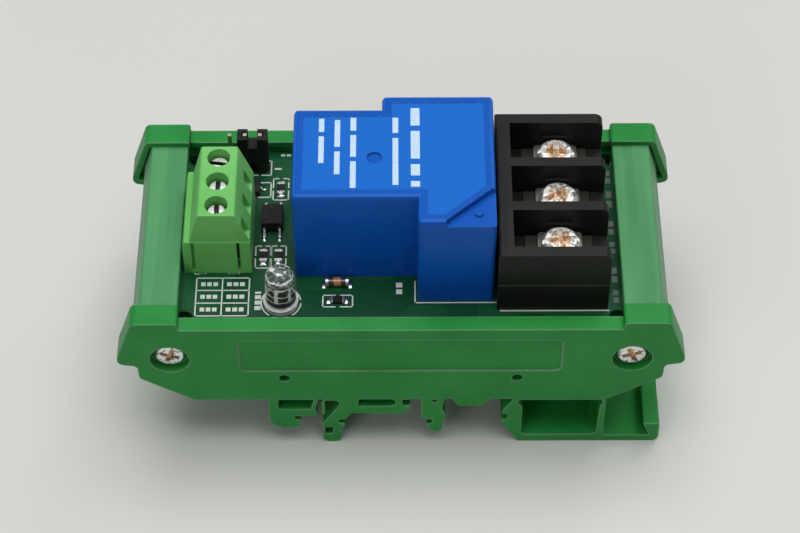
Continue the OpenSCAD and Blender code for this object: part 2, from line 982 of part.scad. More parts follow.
carrier_profile();
end_cap_front();
end_cap_rear();
cap_screws();
circuit_board();
relay_case();
relay_base();
relay_pins();
input_terminal_body();
input_terminal_screws();
input_terminal_clamps();
input_terminal_pins();
barrier_block();
barrier_screws();
barrier_washers();
barrier_contacts();
header_base();
header_pins();
jumper_cap();
jumper_contact();
led_lens();
led_leads();
optocoupler_body();
optocoupler_leads();
chip_resistors();
resistor_ends();
transistor_body();
transistor_leads();
diode_body();
diode_ends();
solder_joints();
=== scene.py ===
"""Looks of the relay module: finishes, print, tracks, solder, lamp, light and camera."""

import math

import bpy
import numpy as np
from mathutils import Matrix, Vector


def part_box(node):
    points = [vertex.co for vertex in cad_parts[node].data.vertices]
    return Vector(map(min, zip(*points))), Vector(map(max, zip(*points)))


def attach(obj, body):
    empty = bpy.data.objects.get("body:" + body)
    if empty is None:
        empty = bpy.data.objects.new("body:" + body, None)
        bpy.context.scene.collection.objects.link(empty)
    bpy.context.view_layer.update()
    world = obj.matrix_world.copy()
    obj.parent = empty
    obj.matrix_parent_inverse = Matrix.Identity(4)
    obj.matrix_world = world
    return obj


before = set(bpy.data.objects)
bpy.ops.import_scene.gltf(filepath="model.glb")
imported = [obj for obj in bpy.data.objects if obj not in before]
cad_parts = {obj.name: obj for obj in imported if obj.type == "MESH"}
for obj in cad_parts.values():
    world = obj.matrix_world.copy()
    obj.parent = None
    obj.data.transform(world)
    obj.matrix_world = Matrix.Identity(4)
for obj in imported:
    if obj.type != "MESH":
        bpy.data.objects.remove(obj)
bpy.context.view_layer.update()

MM = 0.001


# ---- Places taken from the frame, in millimetres ----


def box_mm(node):
    """Lowest and highest corner of a CAD node, in millimetres."""
    low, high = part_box(node)
    return np.array(low) / MM, np.array(high) / MM


BOARD_TOP = box_mm("circuit_board")[1][2]
RELAY_LOW, RELAY_HIGH = box_mm("relay_case")
PANEL_DEPTH = 0.12
PANEL_TOP = RELAY_HIGH[2] - PANEL_DEPTH
BARRIER_LOW, BARRIER_HIGH = box_mm("barrier_block")
LAMP_LOW, LAMP_HIGH = box_mm("led_lens")
LAMP = (LAMP_LOW + LAMP_HIGH) / 2
HEADER_LOW, HEADER_HIGH = box_mm("header_base")
DIODE_LOW, DIODE_HIGH = box_mm("diode_body")
CAP_SCREW_HIGH = box_mm("cap_screws")[1]
OUT_SCREW_LOW, OUT_SCREW_HIGH = box_mm("barrier_screws")
IN_SCREW_HIGH = box_mm("input_terminal_screws")[1]
TERMINAL_LOW = box_mm("input_terminal_body")[0]

# Thickness of the print and of a raised track, how deep a track is seated, and the width of a printed line
INK_T = 0.02
TRACK_T = 0.035
TRACK_SEAT = 0.01
LINE_W = 0.22

# The printed ring about the lamp, inner and outer radius
RING = (3.12, 3.34)

# The lamp's chip: its offset from the axis, half its width, its height over the board and its thickness
CHIP_X, CHIP_HALF, CHIP_Z, CHIP_T = -0.6, 0.14, 4.31, 0.19

# The bond wire's span, rise and radius
BOND_SPAN, BOND_RISE, BOND_R = 1.5, 0.6, 0.03

# Half the floor's width
FLOOR_REACH = 1500


# ---- Shader maths ----


class Wire:
    """An output socket in one material. Sums, products and comparisons of wires become Math nodes."""

    def __init__(self, tree, socket):
        self.tree = tree
        self.socket = socket

    def make(self, kind, settings, inputs, output=0):
        """A node of this kind: its settings first, then its sockets by name or number."""
        node = self.tree.nodes.new(kind)
        for name, value in settings.items():
            setattr(node, name, value)
        for name, value in inputs.items():
            if isinstance(value, Wire):
                self.tree.links.new(value.socket, node.inputs[name])
            else:
                node.inputs[name].default_value = value
        return Wire(self.tree, node.outputs[output])

    def math(self, operation, *values):
        """A Math node with these values in its sockets, in order."""
        return self.make("ShaderNodeMath", {"operation": operation}, dict(enumerate(values)))

    def __add__(self, other):
        return self.math("ADD", self, other)

    __radd__ = __add__

    def __sub__(self, other):
        return self.math("SUBTRACT", self, other)

    def __rsub__(self, other):
        return self.math("SUBTRACT", other, self)

    def __mul__(self, other):
        return self.math("MULTIPLY", self, other)

    __rmul__ = __mul__

    def __gt__(self, other):
        return self.math("GREATER_THAN", self, other)

    def __lt__(self, other):
        return self.math("LESS_THAN", self, other)


def start(name):
    """A new material with an empty tree, and its Object coordinates in metres."""
    finish = bpy.data.materials.new(name)
    finish.use_nodes = True
    finish.node_tree.nodes.clear()
    return finish, Wire(finish.node_tree, None).make("ShaderNodeTexCoord", {}, {}, "Object")


def noise(place, size, detail=2.0, spread=0.5):
    """Soft noise from 0 to 1 with features of this size in millimetres."""
    inputs = {"Vector": place, "Scale": 1 / (size * MM), "Detail": detail, "Roughness": spread}
    return place.make("ShaderNodeTexNoise", {}, inputs, 0)


def stretched(place, x, y, z):
    """The same coordinates multiplied along each axis, for streaks."""
    return place.make("ShaderNodeVectorMath", {"operation": "MULTIPLY"}, {0: place, 1: (x, y, z)})


def axis_of(place, name):
    """One coordinate of a place, in millimetres."""
    return place.make("ShaderNodeSeparateXYZ", {}, {0: place}, name) * (1 / MM)


def step(value, low, high):
    """0 below low, 1 above high and a smooth rise between."""
    inputs = {"Value": value, "From Min": low, "From Max": high}
    return value.make("ShaderNodeMapRange", {"interpolation_type": "SMOOTHSTEP"}, inputs)


def blend(mask, first, second):
    """The first colour where the mask is 0 and the second where it is 1."""
    colours = {}
    for socket, colour in ((6, first), (7, second)):
        colours[socket] = colour if isinstance(colour, Wire) else (*colour, 1)
    return mask.make("ShaderNodeMix", {"data_type": "RGBA"}, {0: mask, **colours}, 2)


def surface(finish, place, colour, roughness, height=None, relief=0.01, edge=0.0, fixed=None, **varying):
    """Ends a material in one Principled shader.

    height is a bump from 0 to 1 that stands relief millimetres high, edge rounds sharp edges in the
    shading by that radius in millimetres, and fixed holds the sockets that are the same all over."""
    inputs = {"Base Color": colour if isinstance(colour, Wire) else (*colour, 1), "Roughness": roughness}
    inputs.update({name.replace("_", " "): value for name, value in varying.items()})
    inputs.update(fixed or {})
    normal = None
    if edge:
        normal = place.make("ShaderNodeBevel", {"samples": 4}, {"Radius": edge * MM})
    if height is not None:
        bump = {"Height": height, "Distance": relief * MM}
        if normal:
            bump["Normal"] = normal
        normal = place.make("ShaderNodeBump", {}, bump)
    if normal:
        inputs["Normal"] = normal
    shader = place.make("ShaderNodeBsdfPrincipled", {}, inputs)
    finish_output(shader)
    return finish


def finish_output(shader):
    """Links a shader to the material's output."""
    output = shader.tree.nodes.new("ShaderNodeOutputMaterial")
    shader.tree.links.new(shader.socket, output.inputs["Surface"])


# ---- Finishes ----


def edge_light(place, radius):
    """1 along sharp edges, as far as radius millimetres, and 0 on the flat.

    It rises as the dot product of the rounded and the flat normal falls below 1."""
    rounded = place.make("ShaderNodeBevel", {"samples": 6}, {"Radius": radius * MM})
    flat = place.make("ShaderNodeNewGeometry", {}, {}, "Normal")
    same = place.make("ShaderNodeVectorMath", {"operation": "DOT_PRODUCT"}, {0: rounded, 1: flat}, "Value")
    return step(1 - same, 0.02, 0.28)


def moulded(
    name, colour, pale, roughness, grain=0.12, relief=0.006, edge=0.22, shine=0.2, worn=0.35, dust=0.3
):
    """Moulded plastic: slight cloudiness, fine grain, dust specks, and softly broken, paler edges, partly
    wear and partly a painted highlight.
    """
    finish, place = start(name)
    cloud = noise(place, 9, 3)
    fine = noise(place, grain, 2)
    shade = blend(step(cloud, 0.3, 0.7), colour, pale)
    # Paler along sharp edges, scaled by worn: partly wear, partly a painted highlight for the light that
    # rounded edges catch
    shade = blend(edge_light(place, edge) * worn * (0.4 + cloud), shade, tuple(0.5 + 0.5 * c for c in pale))
    shade = blend(dust * step(noise(place, 0.45, 1), 0.76, 0.8), shade, tuple(0.3 + 0.7 * c for c in pale))
    rough = roughness + 0.12 * (fine - 0.5) + 0.15 * (cloud - 0.5)
    return surface(finish, place, shade, rough, fine, relief, edge, {"Specular IOR Level": shine})


def extruded_green():
    """Extruded plastic: drawn lines along the rail, paler and smoother than the caps."""
    finish, place = start("profile_green_finish")
    lines = noise(stretched(place, 1, 0.01, 1), 0.4, 3)
    wide = noise(stretched(place, 1, 0.05, 1), 2.5, 2)
    cloud = noise(place, 14, 3)
    shade = blend(step(wide, 0.3, 0.7), (0.045, 0.235, 0.078), (0.075, 0.31, 0.115))
    shade = blend(0.5 * step(cloud, 0.45, 0.75), shade, (0.10, 0.36, 0.15))
    # Painted highlight: paler along the rounded edges of the profile
    shade = blend(0.5 * edge_light(place, 0.25), shade, (0.35, 0.62, 0.38))
    return surface(
        finish, place, shade, 0.3 + 0.12 * lines + 0.1 * cloud, 0.6 * lines + 0.4 * wide, 0.02, 0.25,
        {"Specular IOR Level": 0.4},
    )


def board_green():
    """Solder mask over copper areas and bare laminate, with the weave just showing."""
    finish, place = start("board_green_finish")
    weave = noise(place, 0.3, 2)
    square = {"distance": "CHEBYCHEV", "feature": "F1"}
    cells = place.make("ShaderNodeTexVoronoi", square, {"Vector": place, "Scale": 130.0}, "Color")
    pour = step(axis_of(cells, "X") * MM, 0.5, 0.52)
    shade = blend(pour, (0.004, 0.052, 0.019), (0.006, 0.082, 0.028))
    shade = blend(0.5 * noise(place, 11, 2), shade, (0.008, 0.10, 0.03))
    return surface(
        finish, place, shade, 0.3 + 0.12 * weave, 0.7 * pour + 0.3 * weave, 0.02, 0,
        {"Specular IOR Level": 0.2},
    )


def relay_blue():
    """The relay's case: a matt, paler panel, a smoother rim and sides, and a painted highlight along the
    edges, broken up by noise.
    """
    finish, place = start("relay_blue_finish")
    height = axis_of(place, "Z")
    panel = (height > PANEL_TOP - 0.05) * (height < PANEL_TOP + 0.05)
    fine = noise(place, 0.09, 2)
    cloud = noise(place, 6, 3)
    edge_highlight_breaks = noise(place, 0.5, 2)
    rim = blend(cloud, (0.002, 0.080, 0.42), (0.003, 0.10, 0.50))
    shade = blend(panel, rim, (0.004, 0.135, 0.58))
    # Painted edge highlight: paler blue along the edges where the noise is high
    shade = blend(0.6 * edge_light(place, 0.3) * step(edge_highlight_breaks, 0.35, 0.65), shade, (0.10, 0.34, 0.85))
    shade = blend(0.5 * step(noise(place, 0.45, 1), 0.76, 0.8), shade, (0.25, 0.45, 0.80))
    return surface(
        finish, place, shade, 0.28 + 0.22 * panel + 0.12 * fine, fine, 0.005, 0.25,
        {"Specular IOR Level": 0.16},
    )


def plated(name, colour, roughness, scratch=0.25, edge=0.06):
    """Plated metal with small scratches and duller spots."""
    finish, place = start(name)
    marks = noise(place, scratch, 4, 0.7)
    dull = step(noise(place, 1.1, 2), 0.45, 0.7)
    shade = blend(marks, colour, tuple(0.7 * c for c in colour))
    rough = roughness + 0.3 * (marks - 0.4) + 0.12 * dull
    return surface(finish, place, shade, rough, marks, 0.01, edge, {"Metallic": 1.0})


def worn_screw(name, depth_of, centre_of=None):
    """Plated screw whose recess shows brass with dark brown patches, with scuffed flanks.

    depth_of gives the depth below the head's top in mm, and centre_of the distance from the screw's axis."""
    finish, place = start(name)
    marks = noise(place, 0.3, 4, 0.7)
    brass = step(depth_of(place) + 0.6 * (marks - 0.5), 0.32, 0.5)
    scuffs = step(noise(place, 0.7, 3, 0.6), 0.52, 0.6)
    shade = blend(0.85 * scuffs * (1 - brass), (0.92, 0.92, 0.90), (0.10, 0.10, 0.09))
    if centre_of:
        near = 1 - step(centre_of(place) + 1.4 * (marks - 0.5), 1.5, 1.9)
        brass = near * step(noise(place, 0.55, 3, 0.6), 0.40, 0.50)
    shade = blend(brass, shade, (0.62, 0.37, 0.18))
    # Dark brown patches within the brass of the deep recess
    recess_dark_patches = step(noise(place, 0.5, 3, 0.7), 0.56, 0.66) * brass
    shade = blend(recess_dark_patches, shade, (0.07, 0.05, 0.035))
    return surface(finish, place, shade, 0.22 + 0.3 * marks, marks, 0.06, 0.1, {"Metallic": 0.85})


def slotted_screw():
    """Bright plated head with turning marks, and painted shade in the slot: below the head's top it turns
    near-black.
    """
    finish, place = start("terminal_screw_finish")
    marks = noise(place, 0.2, 3, 0.6)
    # Painted shade: more than about 0.3 mm below the head's top the colour is near-black and the metal is
    # turned off
    slot = step(IN_SCREW_HIGH[2] - axis_of(place, "Z"), 0.12, 0.3)
    shade = blend(step(marks, 0.45, 0.65), (0.95, 0.95, 0.93), (0.55, 0.55, 0.53))
    shade = blend(slot, shade, (0.012, 0.012, 0.011))
    return surface(finish, place, shade, 0.35 + 0.2 * marks, marks, 0.02, 0.08, Metallic=0.75 * (1 - slot))


def cap_screw_depth(place):
    """Depth below the heads of the cap screws, at both ends of the carrier."""
    along = axis_of(place, "Y")
    return CAP_SCREW_HIGH[1] - along.math("ABSOLUTE", along)


def out_screw_depth(place):
    """Depth below the heads of the output screws."""
    return OUT_SCREW_HIGH[2] - axis_of(place, "Z")


def out_screw_centre(place):
    """Distance from the axis of the nearest output screw: three stand in a row along Y."""
    radius = (OUT_SCREW_HIGH[0] - OUT_SCREW_LOW[0]) / 2
    middle = (OUT_SCREW_HIGH + OUT_SCREW_LOW) / 2
    pitch = (OUT_SCREW_HIGH[1] - OUT_SCREW_LOW[1]) / 2 - radius
    across = axis_of(place, "X") - middle[0]
    along = axis_of(place, "Y") - middle[1]
    along = along.math("WRAP", along, pitch / 2, -pitch / 2)
    return across.math("SQRT", across * across + along * along)


def clear_lens():
    """Clear epoxy with painted light in its colour and alpha: painted highlight streaks and rings where the
    lens bends the light, dark between them, a painted glint at the top and a painted glow at the base.

    The streaks follow the angle about the lamp's axis, and the rings its height."""
    finish, place = start("lens_clear_finish")
    height = axis_of(place, "Z") - BOARD_TOP
    across, along = axis_of(place, "X") - LAMP[0], axis_of(place, "Y") - LAMP[1]
    turn = across.math("ARCTAN2", along, across)
    swirl = noise(place, 1.3, 2, 0.5)
    wave = turn.math("SINE", 7.0 * turn + 3.0 * swirl)
    # Painted highlights: upright streaks at set angles about the lamp's axis
    streaks = step(wave, 0.45, 0.85) * step(height, 2.2, 3.0) * step(height, 6.6, 5.8)
    # Painted highlights: rings at set heights up the lens
    painted_bands = step(height.math("SINE", 4.2 * height + 5.0 * swirl), 0.72, 0.95)
    # Painted glint near the top of the dome
    top = step(swirl, 0.52, 0.66) * step(height, 6.2, 6.9)
    # Painted glow at the base of the lens
    painted_foot_glow = step(height, 2.0, 1.0)
    light = painted_bands.math("MAXIMUM", painted_bands, 0.8 * painted_foot_glow)
    light = streaks.math("MAXIMUM", streaks, light)
    light = top.math("MAXIMUM", top, light)
    # The painted light turns the colour near white and makes the epoxy less clear there
    shade = blend(light, (0.20, 0.22, 0.21), (0.97, 0.98, 0.97))
    return surface(
        finish, place, shade, 0.05 + 0.1 * swirl, None, 0, 0,
        {"Specular IOR Level": 0.9, "Coat Weight": 1.0, "Coat Roughness": 0.02}, Alpha=0.22 + 0.68 * light,
    )


def orange_glass():
    """Glass tube with an orange glow from the chip and leads inside."""
    finish, place = start("diode_glass_finish")
    x = axis_of(place, "X") - (DIODE_LOW[0] + DIODE_HIGH[0]) / 2
    middle = step(x.math("ABSOLUTE", x) + 0.5 * noise(place, 0.5, 2), 0.7, 0.95)
    shade = blend(middle, (0.42, 0.20, 0.09), (0.03, 0.015, 0.012))
    gloss = {"Coat Weight": 1.0, "Coat Roughness": 0.05}
    return surface(finish, place, shade, 0.15 + 0.2 * middle, None, 0, 0, gloss)


def ink(name, colour):
    """Printed ink, thin and a little broken."""
    finish, place = start(name)
    worn = noise(place, 0.3, 3, 0.6)
    shade = blend(step(worn, 0.25, 0.5), tuple(0.54 * c for c in colour), colour)
    return surface(finish, place, shade, 0.5 + 0.15 * worn, worn, 0.004, 0, {"Specular IOR Level": 0.25})


def solder_finish():
    """Bright solder with a slight skin."""
    finish, place = start("solder_finish")
    skin = noise(place, 0.35, 3)
    shade = blend(step(skin, 0.35, 0.65), (0.86, 0.86, 0.85), (0.30, 0.30, 0.30))
    return surface(finish, place, shade, 0.16 + 0.25 * skin, skin, 0.05, 0, {"Metallic": 1.0})


def dress(node, finish):
    """Gives a CAD node its finish."""
    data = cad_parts[node].data
    data.materials.clear()
    data.materials.append(finish)


def dress_nodes():
    """Every CAD node keeps its shape and takes a finish."""
    # The caps take wider, stronger paler edges: partly wear, partly a painted edge highlight
    cap = moulded(
        "cap_green_finish", (0.014, 0.225, 0.038), (0.022, 0.262, 0.048), 0.42, edge=0.45, worn=0.55
    )
    steel = plated("steel_finish", (0.78, 0.77, 0.74), 0.28)
    tin = plated("tin_finish", (0.74, 0.74, 0.72), 0.25, 0.15)
    gold = plated("pin_finish", (0.72, 0.66, 0.50), 0.25, 0.15)
    brass = plated("brass_finish", (0.42, 0.30, 0.14), 0.35)
    aged = moulded(
        "aged_contact_finish", (0.016, 0.014, 0.010), (0.03, 0.026, 0.018), 0.5, 0.1, 0.01, 0.1, 0.3, 0.15
    )
    black = moulded(
        "package_black_finish", (0.010, 0.010, 0.010), (0.015, 0.015, 0.014), 0.5,
        0.05, 0.003, 0.05, 0.2, 0.12,
    )
    finishes = {
        "carrier_profile": extruded_green(),
        "end_cap_front": cap,
        "end_cap_rear": cap,
        "cap_screws": worn_screw("cap_screw_finish", cap_screw_depth),
        "circuit_board": board_green(),
        "relay_case": relay_blue(),
        "relay_base": moulded("relay_base_finish", (0.004, 0.025, 0.12), (0.006, 0.035, 0.15), 0.5),
        "relay_pins": tin,
        "input_terminal_body": moulded(
            "terminal_green_finish", (0.15, 0.50, 0.125), (0.18, 0.55, 0.15), 0.45,
            0.2, 0.008, 0.15, 0.15, 0.3,
        ),
        "input_terminal_screws": slotted_screw(),
        "input_terminal_clamps": steel,
        "input_terminal_pins": tin,
        "barrier_block": moulded(
            "barrier_black_finish", (0.007, 0.007, 0.006), (0.012, 0.012, 0.010), 0.5,
            0.16, 0.012, 0.2, 0.25, 0.1, 0.05,
        ),
        "barrier_screws": worn_screw("barrier_screw_finish", out_screw_depth, out_screw_centre),
        "barrier_washers": plated("washer_finish", (0.30, 0.29, 0.27), 0.35),
        "barrier_contacts": aged,
        "header_base": black,
        "header_pins": gold,
        "jumper_cap": black,
        "jumper_contact": brass,
        "led_lens": clear_lens(),
        "led_leads": tin,
        "optocoupler_body": black,
        "optocoupler_leads": tin,
        "chip_resistors": black,
        "resistor_ends": tin,
        "transistor_body": black,
        "transistor_leads": tin,
        "diode_body": orange_glass(),
        "diode_ends": tin,
        "solder_joints": solder_finish(),
    }
    for node, finish in finishes.items():
        dress(node, finish)
    return {"solder": finishes["solder_joints"], "board": finishes["circuit_board"], "gold": gold}


# ---- New pieces ----


def piece(name, points, faces, finish, slot, smooth=False):
    """A piece in millimetres from whole arrays of points and faces, riding on the module."""
    mesh = bpy.data.meshes.new(name)
    mesh.from_pydata((np.asarray(points) * MM).tolist(), [], [list(f) for f in faces])
    mesh.validate()
    mesh.materials.append(finish)
    if smooth:
        mesh.polygons.foreach_set("use_smooth", np.ones(len(mesh.polygons), dtype=bool))
    thing = bpy.data.objects.new(name, mesh)
    bpy.context.scene.collection.objects.link(thing)
    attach(thing, "root")
    return thing


SLAB_CORNERS = np.array([(i, j, k) for k in (0, 1) for j in (0, 1) for i in (0, 1)])
SLAB_FACES = np.array([(0, 2, 3, 1), (4, 5, 7, 6), (0, 1, 5, 4), (2, 6, 7, 3), (0, 4, 6, 2), (1, 3, 7, 5)])


def slabs(boxes):
    """Upright boxes from rows of x0, y0, z0, x1, y1, z1: each corner is low + (high - low) * 0 or 1."""
    boxes = np.asarray(boxes, dtype=float)
    low, high = boxes[:, None, :3], boxes[:, None, 3:]
    points = (low + (high - low) * SLAB_CORNERS).reshape(-1, 3)
    faces = (SLAB_FACES + 8 * np.arange(len(boxes))[:, None, None]).reshape(-1, 4)
    return points, faces


def grid_faces(rows, columns, start=0):
    """Quads between neighbouring rows of points, each row a closed loop."""
    i = np.arange(rows - 1)[:, None] * columns
    j = np.arange(columns)[None, :]
    k = (j + 1) % columns
    return np.stack([i + j, i + k, i + columns + k, i + columns + j], axis=-1).reshape(-1, 4) + start


def lathe(profile, centre, steps=32):
    """A profile of (radius, height) turned about the upright line through centre.

    A point is centre + (radius cos t, radius sin t, height). The ends are closed by the last loops."""
    profile = np.asarray(profile, dtype=float)
    turn = np.linspace(0, 2 * math.pi, steps, endpoint=False)
    radius, height = profile[:, :1], profile[:, 1:]
    points = np.stack([radius * np.cos(turn), radius * np.sin(turn), height + 0 * turn], axis=-1)
    points = points.reshape(-1, 3) + np.asarray(centre)
    faces = grid_faces(len(profile), steps).tolist()
    faces.append(list(range(steps))[::-1])
    faces.append([len(points) - steps + i for i in range(steps)])
    return points, faces


def gather(shapes):
    """Several shapes as one list of points and faces."""
    points, faces, count = [], [], 0
    for some, quads in shapes:
        points.append(np.asarray(some))
        faces += [[count + i for i in quad] for quad in quads]
        count += len(some)
    return np.concatenate(points), faces


def line_boxes(path, z, width=LINE_W):
    """Straight printed lines between the points of a path that runs along X and Y."""
    a, b = np.asarray(path[:-1], dtype=float), np.asarray(path[1:], dtype=float)
    low, high = np.minimum(a, b) - width / 2, np.maximum(a, b) + width / 2
    level = np.full((len(a), 1), z)
    return np.hstack([low, level, high, level + INK_T])


def frame_boxes(x0, y0, x1, y1, z):
    """A printed rectangle."""
    return line_boxes([(x0, y0), (x1, y0), (x1, y1), (x0, y1), (x0, y0)], z)


def word_boxes(start_at, end_at, across, words, z, fill=0.5, space=1.0):
    """A printed row as plain bars, one for each word, with a gap of space parts between them.

    The row runs from start_at to end_at along Y, across is its X range, and words holds each bar's share."""
    total = sum(words) + space * (len(words) - 1)
    unit = (end_at - start_at) / total
    ends = np.cumsum(np.array(words) + space) - space
    begin = start_at + unit * (ends - np.array(words))
    stop = start_at + unit * ends
    middle, half = (across[0] + across[1]) / 2, (across[1] - across[0]) / 2 * fill
    rows = [(middle - half, min(a, b), z, middle + half, max(a, b), z + INK_T) for a, b in zip(begin, stop)]
    return np.array(rows)


def turned(boxes):
    """The same bars with X and Y changed over, for rows that run along X."""
    return np.asarray(boxes)[:, [1, 0, 2, 4, 3, 5]]


def bracket_boxes(x0, y0, x1, y1, z, gap, part=0):
    """A printed rectangle whose long sides are broken in the middle. part 1 keeps its right-hand half."""
    mx, my = (x0 + x1) / 2, (y0 + y1) / 2
    if x1 - x0 > y1 - y0:
        sides = [[(mx - gap / 2, y0), (x0, y0), (x0, y1), (mx - gap / 2, y1)],
                 [(mx + gap / 2, y0), (x1, y0), (x1, y1), (mx + gap / 2, y1)]]
    else:
        sides = [[(x0, my - gap / 2), (x0, y0), (x1, y0), (x1, my - gap / 2)],
                 [(x0, my + gap / 2), (x0, y1), (x1, y1), (x1, my + gap / 2)]]
    return np.vstack([line_boxes(side, z) for side in sides[part:]])


def board_print():
    """White print on the board: outlines of the parts, the label table and plain bars for its words."""
    z = BOARD_TOP
    table_x = (-33.45, -29.2, -24.8)
    table_y = (-16.5, -13.85, -11.2, -8.6)
    boxes = [frame_boxes(table_x[0], table_y[0], table_x[2], table_y[3], z)]
    boxes.append(line_boxes([(table_x[1], table_y[0]), (table_x[1], table_y[3])], z))
    for y in table_y[1:3]:
        boxes.append(line_boxes([(table_x[0], y), (table_x[2], y)], z))
    for x0, x1 in zip(table_x[:-1], table_x[1:]):
        for y0, y1 in zip(table_y[:-1], table_y[1:]):
            words = word_boxes(x0 + 0.75, x1 - 0.75, (y0 + 0.5, y1 - 0.5), [1, 1, 1], z, 0.5, 0.35)
            boxes.append(turned(words))
    for box in ((-21.5, 8.3, -18.9, 13.1), (-24, -6.5, -21.5, -1.8), (-21.4, -6.5, -18.95, -1.8)):
        boxes.append(bracket_boxes(*box, z, 0.8))
    boxes.append(bracket_boxes(-12.7, -14.7, -7.85, -12.3, z, 0.9))
    boxes.append(bracket_boxes(-26.2, 8.9, -21.9, 12.2, z, 0.2, 1))
    low, high = HEADER_LOW - 0.35, HEADER_HIGH + 0.35
    boxes.append(frame_boxes(low[0], low[1], high[0], high[1], z))
    for x0, x1 in ((-33.9, -32.0), (-28.25, -26.5)):
        y = TERMINAL_LOW[1] - 0.25
        boxes.append(line_boxes([(x0, y + 0.6), (x0, y), (x1, y), (x1, y + 0.6)], z, 0.15))
    x, y = RELAY_HIGH[0] + 0.3, RELAY_LOW[1] - 0.3
    boxes.append(line_boxes([(2.35, y + 4.5), (2.35, y), (x, y)], z))
    x0, x1, y = BARRIER_LOW[0] + 0.6, BARRIER_HIGH[0] + 0.1, BARRIER_LOW[1] - 0.2
    boxes.append(line_boxes([(x0, y), (x1, y)], z, 0.26))
    boxes.append(word_boxes(-15.3, -11.5, (-24.1, -22.5), [1, 1, 1, 0.5], z, 0.62, 0.4))
    boxes.append(word_boxes(-12.1, -9.7, (-1.1, 0.6), [1, 1], z, 0.6, 0.4))
    boxes.append(turned(word_boxes(-21.4, -20.2, (14.9, 15.7), [1], z, 0.5)))
    boxes.append(turned(word_boxes(-20.4, -18.7, (18.0, 18.8), [1, 1], z, 0.6, 0.4)))
    ring = [(RING[0], z), (RING[1], z), (RING[1], z + INK_T), (RING[0], z + INK_T), (RING[0], z)]
    circle, faces = lathe(ring, (LAMP[0], LAMP[1], 0), 48)
    return gather([slabs(np.vstack(boxes)), (circle, faces[:-2])])


def edge_print():
    """Plain bars along the board's edge beside the output block, where the names of the poles stand."""
    rows = ((14.6, 11.8), (10.0, 6.4), (3.4, 0.5), (-1.2, -3.6), (-6.6, -9.8), (-11.4, -14.0))
    bars = [word_boxes(b, a, (34.5, 35.8), [1, 1], BOARD_TOP, 0.7, 0.45) for a, b in rows]
    return slabs(np.vstack(bars))


def relay_print():
    """White print on the relay's panel: plain bars where such relays carry their ratings."""
    z = PANEL_TOP
    rows = [
        word_boxes(10.9, -6.1, (1.25, 3.6), [3.2, 5, 2, 1], z, 0.62),
        word_boxes(8.8, -5.7, (-1.55, 0.0), [3, 9], z, 0.6),
        word_boxes(8.8, -6.3, (-8.35, -6.8), [3, 5, 6], z, 0.6),
        word_boxes(8.3, -3.4, (-10.9, -9.4), [6, 5], z, 0.6),
        word_boxes(8.6, -1.0, (-13.45, -12.0), [3, 6], z, 0.6),
    ]
    return slabs(np.vstack(rows))


def mound(x, y, half_x, half_y, height, steps=24):
    """A solder mound on a pad: a dome whose height is height * (1 - s^2) at share s of its outline."""
    share = np.array([1, 0.9, 0.7, 0.45, 0.2, 0.02])[:, None]
    turn = np.linspace(0, 2 * math.pi, steps, endpoint=False)
    square = np.maximum(np.abs(np.cos(turn)), np.abs(np.sin(turn))) ** 0.6
    px = x + half_x * share * np.cos(turn) / square
    py = y + half_y * share * np.sin(turn) / square
    pz = BOARD_TOP + height * (1 - share**2) + 0 * turn
    points = np.stack([px, py, pz], axis=-1).reshape(-1, 3)
    faces = grid_faces(len(share), steps).tolist()
    faces.append(list(range(steps))[::-1])
    faces.append([len(points) - steps + i for i in range(steps)])
    return points, faces


def surface_solder():
    """Solder on the pads of the small parts, against each of their ends."""
    spots = []
    for x, y in ((-20.2, 10.7), (-22.7, -4.1), (-20.2, -4.1)):
        spots += [(x, y + s * 1.45, 0.75, 0.5) for s in (-1, 1)]
    spots += [(-10.3 + s * 1.45, -13.45, 0.5, 0.75) for s in (-1, 1)]
    spots += [(-10.4 + s * 2.15, -10.1, 0.45, 0.85) for s in (-1, 1)]
    spots += [(-22.95, 10.6, 0.45, 0.4), (-25.65, 9.65, 0.45, 0.4), (-25.65, 11.55, 0.45, 0.4)]
    spots += [(x, y, 0.45, 0.6) for x in (-22.67, -20.13) for y in (-0.35, 7.35)]
    return gather([mound(x, y, a, b, 0.28) for x, y, a, b in spots])


def ribbon(path, width):
    """A flat track along a path.

    Each point gives point + and - half the width along the mitre, at the board and at the copper's height."""
    path = np.asarray(path, dtype=float)
    steps = np.diff(path, axis=0)
    steps /= np.linalg.norm(steps, axis=1)[:, None]
    before, after = np.vstack([steps[:1], steps]), np.vstack([steps, steps[-1:]])
    normal = np.stack([-(before + after)[:, 1], (before + after)[:, 0]], axis=-1)
    normal /= (np.sum(normal**2, axis=1) / 2)[:, None]
    half = width / 2 * normal
    left, right = path + half, path - half
    low, high = np.full((len(path), 1), BOARD_TOP - TRACK_SEAT), np.full((len(path), 1), BOARD_TOP + TRACK_T)
    corners = ((right, low), (left, low), (left, high), (right, high))
    loops = [np.hstack(corner) for corner in corners]
    points = np.stack(loops, axis=1).reshape(-1, 3)
    faces = grid_faces(len(path), 4).tolist()
    faces.append([3, 2, 1, 0])
    faces.append([len(points) - 4 + i for i in range(4)])
    return points, faces


